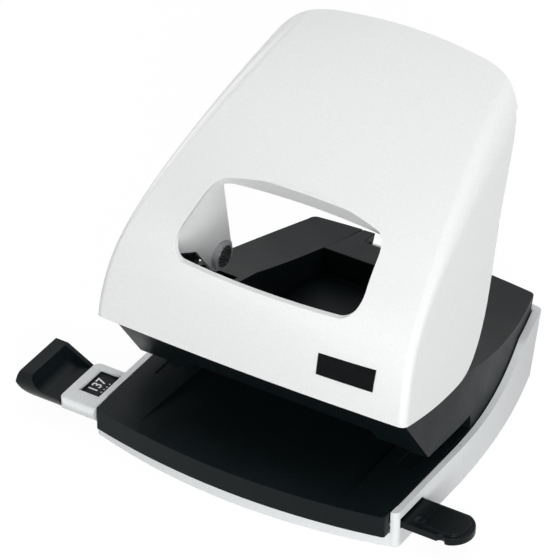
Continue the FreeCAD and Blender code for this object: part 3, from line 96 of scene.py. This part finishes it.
# Print on the guide bar
WINDOW_X_MM, WINDOW_Y_MM = -53.55, -36.6  # middle of the format window
DISPLAY_Z_MM, BAR_Z_MM = 10.0, 8.2  # raised display and flat top of the guide bar
FORMATS = (  # paper width and the guide's travel to it, both in mm
    ("137", 0.0), ("210", 36.5), ("279", 71.2), ("297", 80.0), ("330", 96.5))
TYPE_WEIGHT_MM = 0.07  # thickens the strokes of the figures
DIGIT_SHARE = 0.70  # height of a figure as a share of the type's size
DOT_COUNT, DOT_SIDES = 4, 20

# Materials
NOISE_LOW, NOISE_HIGH = 0.3, 0.7  # most of a noise's values lie between these
ALONG_SHEET = (0.08, 1.0, 1.0)  # draws a grain out along X into rolling lines
ALONG_ROD = (0.05, 1.0, 1.0)  # and into the finer lines of a drawn rod
ROUND_UPRIGHT = (0.1, 0.1, 1.0)  # draws a grain out into rings round an upright axis

# Stage
FLOOR_HALF_M = 4.0
FLOOR_DROP_MM = 0.05  # keeps the floor's face apart from the base's underside
GLOW = 1.13  # makes up for the paint that shows through, so that the seen floor comes out white
SENSOR_MM = 36.0
VIEW_END_M = 20.0
LAMPS = (  # name, place, height of the point it faces, width and length in metres, setting of its watts
    ("top", (0.05, 0.15, 1.0), 0.03, (1.2, 0.9), "top_watts"),
    ("front_right", (0.75, -0.95, 0.35), 0.05, (0.6, 0.8), "right_watts"),
    ("front_left", (-0.5, -1.0, 0.5), 0.05, (0.6, 0.8), "fill_watts"),
    ("left", (-0.95, -0.45, 0.55), 0.05, (0.5, 0.9), "fill_watts"),
    ("left_rear", (-1.0, 0.35, 0.4), 0.05, (0.4, 0.7), "rim_watts"),
    ("right", (1.0, 0.1, 0.5), 0.05, (0.25, 0.9), "fill_watts"),
)


# ---------------------------------------------------------------------------
# Shader helpers
# ---------------------------------------------------------------------------

def linear(hex_colour):
    """An sRGB hex colour as the linear colour that a shader socket takes, by the sRGB standard's curve."""
    channels = [int(hex_colour[i:i + 2], 16) / 255.0 for i in (0, 2, 4)]
    return [c / 12.92 if c <= 0.04045 else ((c + 0.055) / 1.055) ** 2.4 for c in channels] + [1.0]


def add_node(tree, kind, settings=None, inputs=None, links=None):
    """Adds one shader node: its settings, its input values, and links as {input: output socket}."""
    node = tree.nodes.new(kind)
    for name, value in (settings or {}).items():
        setattr(node, name, value)
    for name, value in (inputs or {}).items():
        node.inputs[name].default_value = value
    for name, socket in (links or {}).items():
        tree.links.new(socket, node.inputs[name])
    return node


def new_material(name):
    """An empty node material and its tree."""
    material = bpy.data.materials.new(name)
    material.use_nodes = True
    material.node_tree.nodes.clear()
    return material, material.node_tree


def grain(tree, size_mm, detail, stretch=(1.0, 1.0, 1.0)):
    """Noise on Object coordinates whose grains are about size_mm across."""
    place = add_node(tree, "ShaderNodeTexCoord").outputs["Object"]
    mapped = add_node(tree, "ShaderNodeMapping", inputs={"Scale": stretch}, links={"Vector": place})
    noise = add_node(
        tree, "ShaderNodeTexNoise",
        inputs={"Scale": 1.0 / (size_mm * MM), "Detail": detail, "Roughness": 0.55},
        links={"Vector": mapped.outputs["Vector"]})
    return noise.outputs["Fac"]


def finish_material(tree, settings, tint, colours, sheen, roughness, relief=None, relief_mm=0.0):
    """Principled shader, wired to the output, whose surface varies with noise.

    tint carries the colour between two hex colours, sheen carries the roughness between two numbers,
    and relief raises the surface by up to relief_mm.
    """
    colour = add_node(tree, "ShaderNodeValToRGB", links={"Fac": tint})
    for element, position, hex_colour in zip(colour.color_ramp.elements, (NOISE_LOW, NOISE_HIGH), colours):
        element.position = position
        element.color = linear(hex_colour)
    smoothest, roughest = roughness
    rough = add_node(
        tree, "ShaderNodeMapRange",
        inputs={"From Min": NOISE_LOW, "From Max": NOISE_HIGH, "To Min": smoothest, "To Max": roughest},
        links={"Value": sheen})
    links = {"Base Color": colour.outputs["Color"], "Roughness": rough.outputs["Result"]}
    if relief is not None:
        bump = add_node(
            tree, "ShaderNodeBump", inputs={"Strength": 1.0, "Distance": relief_mm * MM},
            links={"Height": relief})
        links["Normal"] = bump.outputs["Normal"]
    shader = add_node(tree, "ShaderNodeBsdfPrincipled", inputs=settings, links=links)
    add_node(tree, "ShaderNodeOutputMaterial", links={"Surface": shader.outputs["BSDF"]})


def seen_directly(tree):
    """1 for rays from the camera, for mirrored and for refracted ones, 0 for the rest."""
    path = add_node(tree, "ShaderNodeLightPath")
    seen = path.outputs["Is Camera Ray"]
    for name in ("Is Glossy Ray", "Is Transmission Ray"):
        either = add_node(
            tree, "ShaderNodeMath", {"operation": "MAXIMUM"}, links={0: seen, 1: path.outputs[name]})
        seen = either.outputs[0]
    return seen


# ---------------------------------------------------------------------------
# Materials
# ---------------------------------------------------------------------------

def enamelled_sheet_steel(look):
    """White stove enamel on pressed steel: even and satin, with a faint orange peel."""
    material, tree = new_material("enamelled_sheet_steel")
    speck = grain(tree, look.enamel_speck_mm, detail=3.0)
    peel = grain(tree, look.enamel_peel_mm, detail=1.0)
    finish_material(
        tree, {"Metallic": 0.0, "IOR": 1.5, "Coat Weight": 0.4, "Coat Roughness": 0.16},
        tint=speck, colours=(look.enamel_shade, look.enamel_light),
        sheen=peel, roughness=(0.36, 0.44), relief=peel, relief_mm=0.004)
    return material


def textured_abs_white(look):
    """White ABS from a spark-eroded mould: matt, with a very fine even grain."""
    material, tree = new_material("textured_abs_white")
    speck = grain(tree, look.mould_grain_mm, detail=3.0)
    finish_material(
        tree, {"Metallic": 0.0, "IOR": 1.53},
        tint=speck, colours=(look.abs_white_shade, look.abs_white_light),
        sheen=speck, roughness=(0.46, 0.56), relief=speck, relief_mm=0.010)
    return material


def textured_abs_black(look):
    """Black ABS from a spark-eroded mould: the grain breaks its sheen into fine points."""
    material, tree = new_material("textured_abs_black")
    speck = grain(tree, look.mould_grain_mm, detail=4.0)
    cloud = grain(tree, size_mm=9.0, detail=2.0)
    finish_material(
        tree, {"Metallic": 0.0, "IOR": 1.53, "Specular IOR Level": 0.10},
        tint=speck, colours=(look.abs_black_shade, look.abs_black_light),
        sheen=cloud, roughness=(0.36, 0.44), relief=speck, relief_mm=0.016)
    return material


def satin_abs_black(look):
    """Black ABS of the guide: handling has smoothed it, so its sheen is a little tighter."""
    material, tree = new_material("satin_abs_black")
    speck = grain(tree, look.mould_grain_mm, detail=3.0)
    finish_material(
        tree, {"Metallic": 0.0, "IOR": 1.53, "Specular IOR Level": 0.10},
        tint=speck, colours=(look.abs_black_shade, look.abs_black_light),
        sheen=speck, roughness=(0.28, 0.36), relief=speck, relief_mm=0.008)
    return material


def gloss_black_label(look):
    """Black foil of the bare plate: smooth, so it mirrors more clearly than the mouldings."""
    material, tree = new_material("gloss_black_label")
    speck = grain(tree, size_mm=2.0, detail=1.0)
    finish_material(
        tree, {"Metallic": 0.0, "IOR": 1.5, "Specular IOR Level": 0.08},
        tint=speck, colours=("060809", "0A0C0D"),
        sheen=speck, roughness=(0.24, 0.30))
    return material


def zinc_plated_steel(look):
    """Bright zinc on rolled sheet: bluish, with faint rolling lines, drawn wide enough to show."""
    material, tree = new_material("zinc_plated_steel")
    lines = grain(tree, size_mm=0.5, detail=3.0, stretch=ALONG_SHEET)
    cloud = grain(tree, size_mm=4.0, detail=2.0)
    finish_material(
        tree, {"Metallic": 1.0},
        tint=cloud, colours=("A9ADB2", "C4C8CC"),
        sheen=lines, roughness=(0.26, 0.40), relief=lines, relief_mm=0.003)
    return material


def drawn_bright_steel(look):
    """Cold drawn rod: bright, with lines along X from the die, drawn wide enough to show."""
    material, tree = new_material("drawn_bright_steel")
    lines = grain(tree, size_mm=0.35, detail=3.0, stretch=ALONG_ROD)
    finish_material(
        tree, {"Metallic": 1.0},
        tint=lines, colours=("B4B5B6", "CFD0D1"),
        sheen=lines, roughness=(0.20, 0.32), relief=lines, relief_mm=0.002)
    return material


def ground_tool_steel(look):
    """Hardened and ground steel: a shade darker, with rings from the wheel, drawn wide enough to show."""
    material, tree = new_material("ground_tool_steel")
    rings = grain(tree, size_mm=0.4, detail=3.0, stretch=ROUND_UPRIGHT)
    finish_material(
        tree, {"Metallic": 1.0},
        tint=rings, colours=("8E9092", "ACAEB0"),
        sheen=rings, roughness=(0.22, 0.34), relief=rings, relief_mm=0.002)
    return material


def oiled_spring_steel(look):
    """Spring wire and strip: dark from tempering in oil."""
    material, tree = new_material("oiled_spring_steel")
    cloud = grain(tree, size_mm=1.2, detail=2.0)
    finish_material(
        tree, {"Metallic": 1.0},
        tint=cloud, colours=("4A4B4E", "66686B"),
        sheen=cloud, roughness=(0.28, 0.40))
    return material


def acetal_grey(look):
    """Turned acetal collars: pale, slightly waxy."""
    material, tree = new_material("acetal_grey")
    speck = grain(tree, size_mm=0.6, detail=2.0)
    finish_material(
        tree, {"Metallic": 0.0, "IOR": 1.48},
        tint=speck, colours=("A6A9AB", "B4B7B9"),
        sheen=speck, roughness=(0.36, 0.44))
    return material


def screen_print_white(look):
    """Screen print ink on the guide's display: matt white, a touch uneven."""
    material, tree = new_material("screen_print_white")
    speck = grain(tree, size_mm=0.3, detail=2.0)
    finish_material(
        tree, {"Metallic": 0.0, "IOR": 1.5},
        tint=speck, colours=("E4E6E6", "F0F1F1"),
        sheen=speck, roughness=(0.5, 0.6))
    return material


def painted_studio_floor(stage):
    """Matt grey paint that holds the shadow, lifted to plain white where it is seen directly."""
    material, tree = new_material("painted_studio_floor")
    paint = add_node(
        tree, "ShaderNodeBsdfDiffuse", inputs={"Color": linear(stage.floor_colour), "Roughness": 0.0})
    glow = add_node(tree, "ShaderNodeEmission", inputs={"Color": WHITE, "Strength": GLOW})
    share = add_node(
        tree, "ShaderNodeMath", {"operation": "MULTIPLY"}, {1: stage.floor_white},
        {0: seen_directly(tree)})
    mixed = add_node(
        tree, "ShaderNodeMixShader",
        links={0: share.outputs[0], 1: paint.outputs["BSDF"], 2: glow.outputs["Emission"]})
    add_node(tree, "ShaderNodeOutputMaterial", links={"Surface": mixed.outputs["Shader"]})
    return material


# ---------------------------------------------------------------------------
# Pieces
# ---------------------------------------------------------------------------

def dress(obj, material):
    """Gives an object one material."""
    obj.data.materials.clear()
    obj.data.materials.append(material)


def place_in_scene(name, data):
    """A new object at the origin, in the scene."""
    obj = bpy.data.objects.new(name, data)
    bpy.context.scene.collection.objects.link(obj)
    return obj


def softened(node, radius_mm, material, steps=MOULDED_STEPS):
    """A copy of a CAD node with its sharp edges rounded, which stands for that node."""
    shape = bmesh.new()
    shape.from_mesh(NODES[node].data)
    bmesh.ops.remove_doubles(shape, verts=shape.verts[:], dist=MERGE_M)
    bmesh.ops.dissolve_degenerate(shape, edges=shape.edges[:], dist=SLIVER_M)
    bmesh.ops.dissolve_limit(
        shape, angle_limit=math.radians(FLAT_DEGREES), use_dissolve_boundaries=False,
        verts=shape.verts[:], edges=shape.edges[:], delimit={"NORMAL"})
    mesh = bpy.data.meshes.new(node + "_soft")
    shape.to_mesh(mesh)
    shape.free()
    mesh.polygons.foreach_set("use_smooth", [True] * len(mesh.polygons))
    piece = place_in_scene(node + "_soft", mesh)
    bevel = piece.modifiers.new("rounded_edges", "BEVEL")
    bevel.width = radius_mm * MM
    bevel.segments = steps
    bevel.limit_method = "ANGLE"
    bevel.angle_limit = math.radians(CREASE_DEGREES)
    bevel.use_clamp_overlap = True
    bevel.miter_outer = "MITER_ARC"
    even = piece.modifiers.new("even_shading", "WEIGHTED_NORMAL")
    even.keep_sharp = True
    dress(piece, material)
    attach(piece, BODY_OF[node])
    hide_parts(node)


def printed(name, mesh, material):
    """A piece of print on the guide bar, made from a finished mesh."""
    piece = place_in_scene(name, mesh)
    dress(piece, material)
    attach(piece, "guide")


def figure_mesh(name, text, height_mm, thick_mm, place_mm):
    """Thin printed figures that run along Y and are read from the +X side."""
    curve = bpy.data.curves.new(name + "_text", "FONT")
    curve.body = text
    curve.size = height_mm * MM / DIGIT_SHARE
    curve.align_x = "CENTER"
    curve.align_y = "CENTER"
    curve.extrude = thick_mm * MM / 2.0
    curve.offset = TYPE_WEIGHT_MM * MM
    holder = place_in_scene(name + "_text", curve)
    bpy.context.view_layer.update()
    mesh = bpy.data.meshes.new_from_object(holder.evaluated_get(bpy.context.evaluated_depsgraph_get()))
    bpy.data.objects.remove(holder)
    bpy.data.curves.remove(curve)
    mesh.materials.clear()
    turn = Matrix.Rotation(math.radians(90.0), 4, "Z")
    mesh.transform(Matrix.Translation(Vector(place_mm) * MM) @ turn)
    return mesh


def dot_mesh(name, radius_mm, thick_mm, places_mm):
    """Thin printed dots."""
    shape = bmesh.new()
    for place_mm in places_mm:
        bmesh.ops.create_cone(
            shape, cap_ends=True, segments=DOT_SIDES, radius1=radius_mm * MM, radius2=radius_mm * MM,
            depth=thick_mm * MM, matrix=Matrix.Translation(Vector(place_mm) * MM))
    mesh = bpy.data.meshes.new(name)
    shape.to_mesh(mesh)
    shape.free()
    return mesh


# ---------------------------------------------------------------------------
# Stage
# ---------------------------------------------------------------------------

def lay_floor(stage):
    """A large plain floor just under the base."""
    shape = bmesh.new()
    bmesh.ops.create_grid(shape, x_segments=1, y_segments=1, size=FLOOR_HALF_M)
    bmesh.ops.translate(shape, verts=shape.verts, vec=(0.0, 0.0, -FLOOR_DROP_MM * MM))
    mesh = bpy.data.meshes.new("floor")
    shape.to_mesh(mesh)
    shape.free()
    floor = place_in_scene("floor", mesh)
    dress(floor, painted_studio_floor(stage))


def light_sky(stage):
    """A weak even light from all round, which is plain white where it is seen directly."""
    world = bpy.data.worlds.new("studio")
    world.use_nodes = True
    tree = world.node_tree
    tree.nodes.clear()
    level = add_node(
        tree, "ShaderNodeMapRange", inputs={"To Min": stage.sky_level, "To Max": 1.0},
        links={"Value": seen_directly(tree)})
    sky = add_node(
        tree, "ShaderNodeBackground", inputs={"Color": WHITE},
        links={"Strength": level.outputs["Result"]})
    add_node(tree, "ShaderNodeOutputWorld", links={"Surface": sky.outputs["Background"]})
    bpy.context.scene.world = world


def facing(place, aim):
    """The turn that points a lamp or camera from one place to another, upright."""
    return (Vector(aim) - Vector(place)).to_track_quat("-Z", "Y").to_euler()


def hang_lamps(stage):
    """Large rectangular lamps round the punch, which face its middle."""
    for name, place, aim_height, size, setting in LAMPS:
        lamp = bpy.data.lights.new(name, "AREA")
        lamp.shape = "RECTANGLE"
        lamp.size, lamp.size_y = size
        lamp.energy = getattr(stage, setting)
        obj = place_in_scene(name, lamp)
        obj.location = place
        obj.rotation_euler = facing(place, (0.0, 0.0, aim_height))


def set_camera(stage):
    """The camera of the main view."""
    camera = bpy.data.cameras.new("camera")
    camera.sensor_width = SENSOR_MM
    camera.lens = stage.lens_mm
    camera.clip_end = VIEW_END_M
    view = place_in_scene("camera", camera)
    view.location = stage.camera_place
    view.rotation_euler = facing((0.0, 0.0, 0.0), stage.camera_aim)
    bpy.context.scene.camera = view


# ---------------------------------------------------------------------------
# Settings
# ---------------------------------------------------------------------------

class PUNCH_PG_look(bpy.types.PropertyGroup):
    """Sizes and colours of the punch's finishes."""
    enamel_light: StringProperty(
        name="Enamel, light", description="sRGB hex of the lever's enamel", default="E6E7E7")
    enamel_shade: StringProperty(
        name="Enamel, shade", description="sRGB hex of the enamel's darker grains", default="DFE0E0")
    abs_white_light: StringProperty(
        name="White moulding, light", description="sRGB hex of the base", default="E4E6E7")
    abs_white_shade: StringProperty(
        name="White moulding, shade", description="sRGB hex of the base's darker grains",
        default="DCDFE0")
    abs_black_light: StringProperty(
        name="Black moulding, light", description="sRGB hex of the black's lighter grains",
        default="12191B")
    abs_black_shade: StringProperty(
        name="Black moulding, shade", description="sRGB hex of the black", default="070C0E")
    enamel_speck_mm: FloatProperty(
        name="Enamel grain",
        description="Size of the enamel's grains in mm, drawn coarser than real to show",
        default=0.5, min=0.05, max=5.0)
    enamel_peel_mm: FloatProperty(
        name="Orange peel", description="Wavelength of the enamel's orange peel in mm",
        default=1.6, min=0.2, max=10.0)
    mould_grain_mm: FloatProperty(
        name="Mould grain",
        description="Grain of the spark-eroded mould in mm, drawn coarser than real to show",
        default=0.42, min=0.05, max=5.0)
    figure_height_mm: FloatProperty(
        name="Figure height", description="Height of the printed figures in mm",
        default=3.0, min=0.5, max=6.0)
    figure_shift_mm: FloatProperty(
        name="Figure shift", description="How far the figures stand left of the window's middle in mm",
        default=1.1)
    dot_shift_mm: FloatProperty(
        name="Dot shift", description="How far the dots stand right of the window's middle in mm",
        default=1.6)
    dot_pitch_mm: FloatProperty(name="Dot pitch", description="Spacing of the dots in mm", default=1.46)
    dot_radius_mm: FloatProperty(
        name="Dot radius", description="Radius of a dot in mm", default=0.24, min=0.05)
    print_mm: FloatProperty(
        name="Print", description="Thickness of the print in mm", default=0.04, min=0.01, max=0.2)
    moulded_edge_mm: FloatProperty(
        name="Moulded edge", description="Edge radius of the mouldings in mm",
        default=0.45, min=0.05, max=2.0)
    sheet_edge_mm: FloatProperty(
        name="Sheet edge", description="Edge radius of the pressed sheet in mm",
        default=0.35, min=0.05, max=0.6)


class PUNCH_PG_stage(bpy.types.PropertyGroup):
    """Light, floor and camera."""
    floor_colour: StringProperty(name="Floor", description="sRGB hex of the floor", default="B4B4B4")
    floor_white: FloatProperty(
        name="Floor white", description="How far the seen floor is lifted to plain white",
        default=0.84, min=0.0, max=1.0, subtype="FACTOR")
    sky_level: FloatProperty(
        name="Sky", description="Level of the even light from all round", default=0.03, min=0.0, max=2.0)
    top_watts: FloatProperty(
        name="Top lamp", description="Power of the large lamp overhead in watts",
        default=4.5, min=0.0, max=200.0, unit="POWER")
    right_watts: FloatProperty(
        name="Front right lamp", description="Power of the main lamp in watts",
        default=15.4, min=0.0, max=200.0, unit="POWER")
    fill_watts: FloatProperty(
        name="Fill lamps", description="Power of each of the three weak lamps in watts",
        default=1.5, min=0.0, max=200.0, unit="POWER")
    rim_watts: FloatProperty(
        name="Rim lamp", description="Power of the lamp behind the left side in watts",
        default=2.6, min=0.0, max=200.0, unit="POWER")
    camera_place: FloatVectorProperty(
        name="Camera", description="Where the camera stands", default=(0.5933, -0.9818, 0.8660),
        subtype="TRANSLATION", unit="LENGTH", size=3)
    camera_aim: FloatVectorProperty(
        name="Aim", description="Direction the camera looks in", default=(-0.4289, 0.6911, -0.5819),
        subtype="DIRECTION", size=3)
    lens_mm: FloatProperty(
        name="Lens", description="Focal length in mm", default=321.43, min=20.0, max=1000.0, unit="CAMERA")


# ---------------------------------------------------------------------------
# Steps
# ---------------------------------------------------------------------------

class PUNCH_OT_white_parts(bpy.types.Operator):
    """Finish the white base, chip tray and lever"""
    bl_idname = "punch.white_parts"
    bl_label = "White parts"

    def execute(self, context):
        look = context.scene.punch_look
        moulded = textured_abs_white(look)
        for node in WHITE_MOULDINGS:
            softened(node, look.moulded_edge_mm, moulded)
        softened("lever_cover", look.sheet_edge_mm, enamelled_sheet_steel(look), SHEET_STEPS)
        return {"FINISHED"}


class PUNCH_OT_black_parts(bpy.types.Operator):
    """Finish the black table, housings, deck, guide and bare plate"""
    bl_idname = "punch.black_parts"
    bl_label = "Black parts"

    def execute(self, context):
        look = context.scene.punch_look
        for nodes, recipe in ((BLACK_MOULDINGS, textured_abs_black), (BLACK_GUIDE, satin_abs_black)):
            material = recipe(look)
            for node in nodes:
                softened(node, look.moulded_edge_mm, material)
        dress(NODES["blank_plate"], gloss_black_label(look))
        return {"FINISHED"}


class PUNCH_OT_figures(bpy.types.Operator):
    """Print a paper width for each stop of the guide, and dots beside the first"""
    bl_idname = "punch.figures"
    bl_label = "Figures"

    def execute(self, context):
        look = context.scene.punch_look
        ink = screen_print_white(look)
        for text, travel in FORMATS:
            top = DISPLAY_Z_MM if travel == 0.0 else BAR_Z_MM
            place_mm = (WINDOW_X_MM - look.figure_shift_mm + travel, WINDOW_Y_MM, top)
            name = "width_" + text
            printed(name, figure_mesh(name, text, look.figure_height_mm, look.print_mm, place_mm), ink)
        x = WINDOW_X_MM + look.dot_shift_mm
        dots = [
            (x, WINDOW_Y_MM + look.dot_pitch_mm * (i - (DOT_COUNT - 1) / 2.0), DISPLAY_Z_MM)
            for i in range(DOT_COUNT)]
        printed("width_dots", dot_mesh("width_dots", look.dot_radius_mm, look.print_mm, dots), ink)
        return {"FINISHED"}


class PUNCH_OT_steel_parts(bpy.types.Operator):
    """Finish the steel parts and the collars of the press pins"""
    bl_idname = "punch.steel_parts"
    bl_label = "Steel parts"

    def execute(self, context):
        for nodes, recipe in (
                (ZINC_STEEL, zinc_plated_steel), (BRIGHT_STEEL, drawn_bright_steel),
                (HARD_STEEL, ground_tool_steel), (SPRING_STEEL, oiled_spring_steel),
                (BUSHES, acetal_grey)):
            material = recipe(context.scene.punch_look)
            for node in nodes:
                dress(NODES[node], material)
        return {"FINISHED"}


class PUNCH_OT_stage(bpy.types.Operator):
    """Floor, light and camera"""
    bl_idname = "punch.stage"
    bl_label = "Stage"

    def execute(self, context):
        context.scene.view_settings.view_transform = "Standard"
        for step in (lay_floor, light_sky, hang_lamps, set_camera):
            step(context.scene.punch_stage)
        return {"FINISHED"}


class PUNCH_PT_panel(bpy.types.Panel):
    """Lists the punch's settings and steps"""
    bl_label = "Hole punch"
    bl_idname = "PUNCH_PT_panel"
    bl_space_type = "VIEW_3D"
    bl_region_type = "UI"
    bl_category = "Hole punch"

    def draw(self, context):
        for group in (context.scene.punch_look, context.scene.punch_stage):
            for name in group.__annotations__:
                self.layout.prop(group, name)
        for operator in OPERATORS:
            self.layout.operator(operator.bl_idname)


OPERATORS = (
    PUNCH_OT_white_parts, PUNCH_OT_black_parts, PUNCH_OT_figures, PUNCH_OT_steel_parts, PUNCH_OT_stage)
CLASSES = (PUNCH_PG_look, PUNCH_PG_stage) + OPERATORS + (PUNCH_PT_panel,)


def register():
    """Registers the classes and hangs the settings on the scene."""
    for item in CLASSES:
        bpy.utils.register_class(item)
    bpy.types.Scene.punch_look = PointerProperty(type=PUNCH_PG_look)
    bpy.types.Scene.punch_stage = PointerProperty(type=PUNCH_PG_stage)


def unregister():
    """Takes the settings and classes away again."""
    del bpy.types.Scene.punch_stage
    del bpy.types.Scene.punch_look
    for item in reversed(CLASSES):
        bpy.utils.unregister_class(item)


def main():
    """Builds everything in order."""
    register()
    for step in ("white_parts", "black_parts", "figures", "steel_parts", "stage"):
        getattr(bpy.ops.punch, step)()


if __name__ == "__main__":
    main()
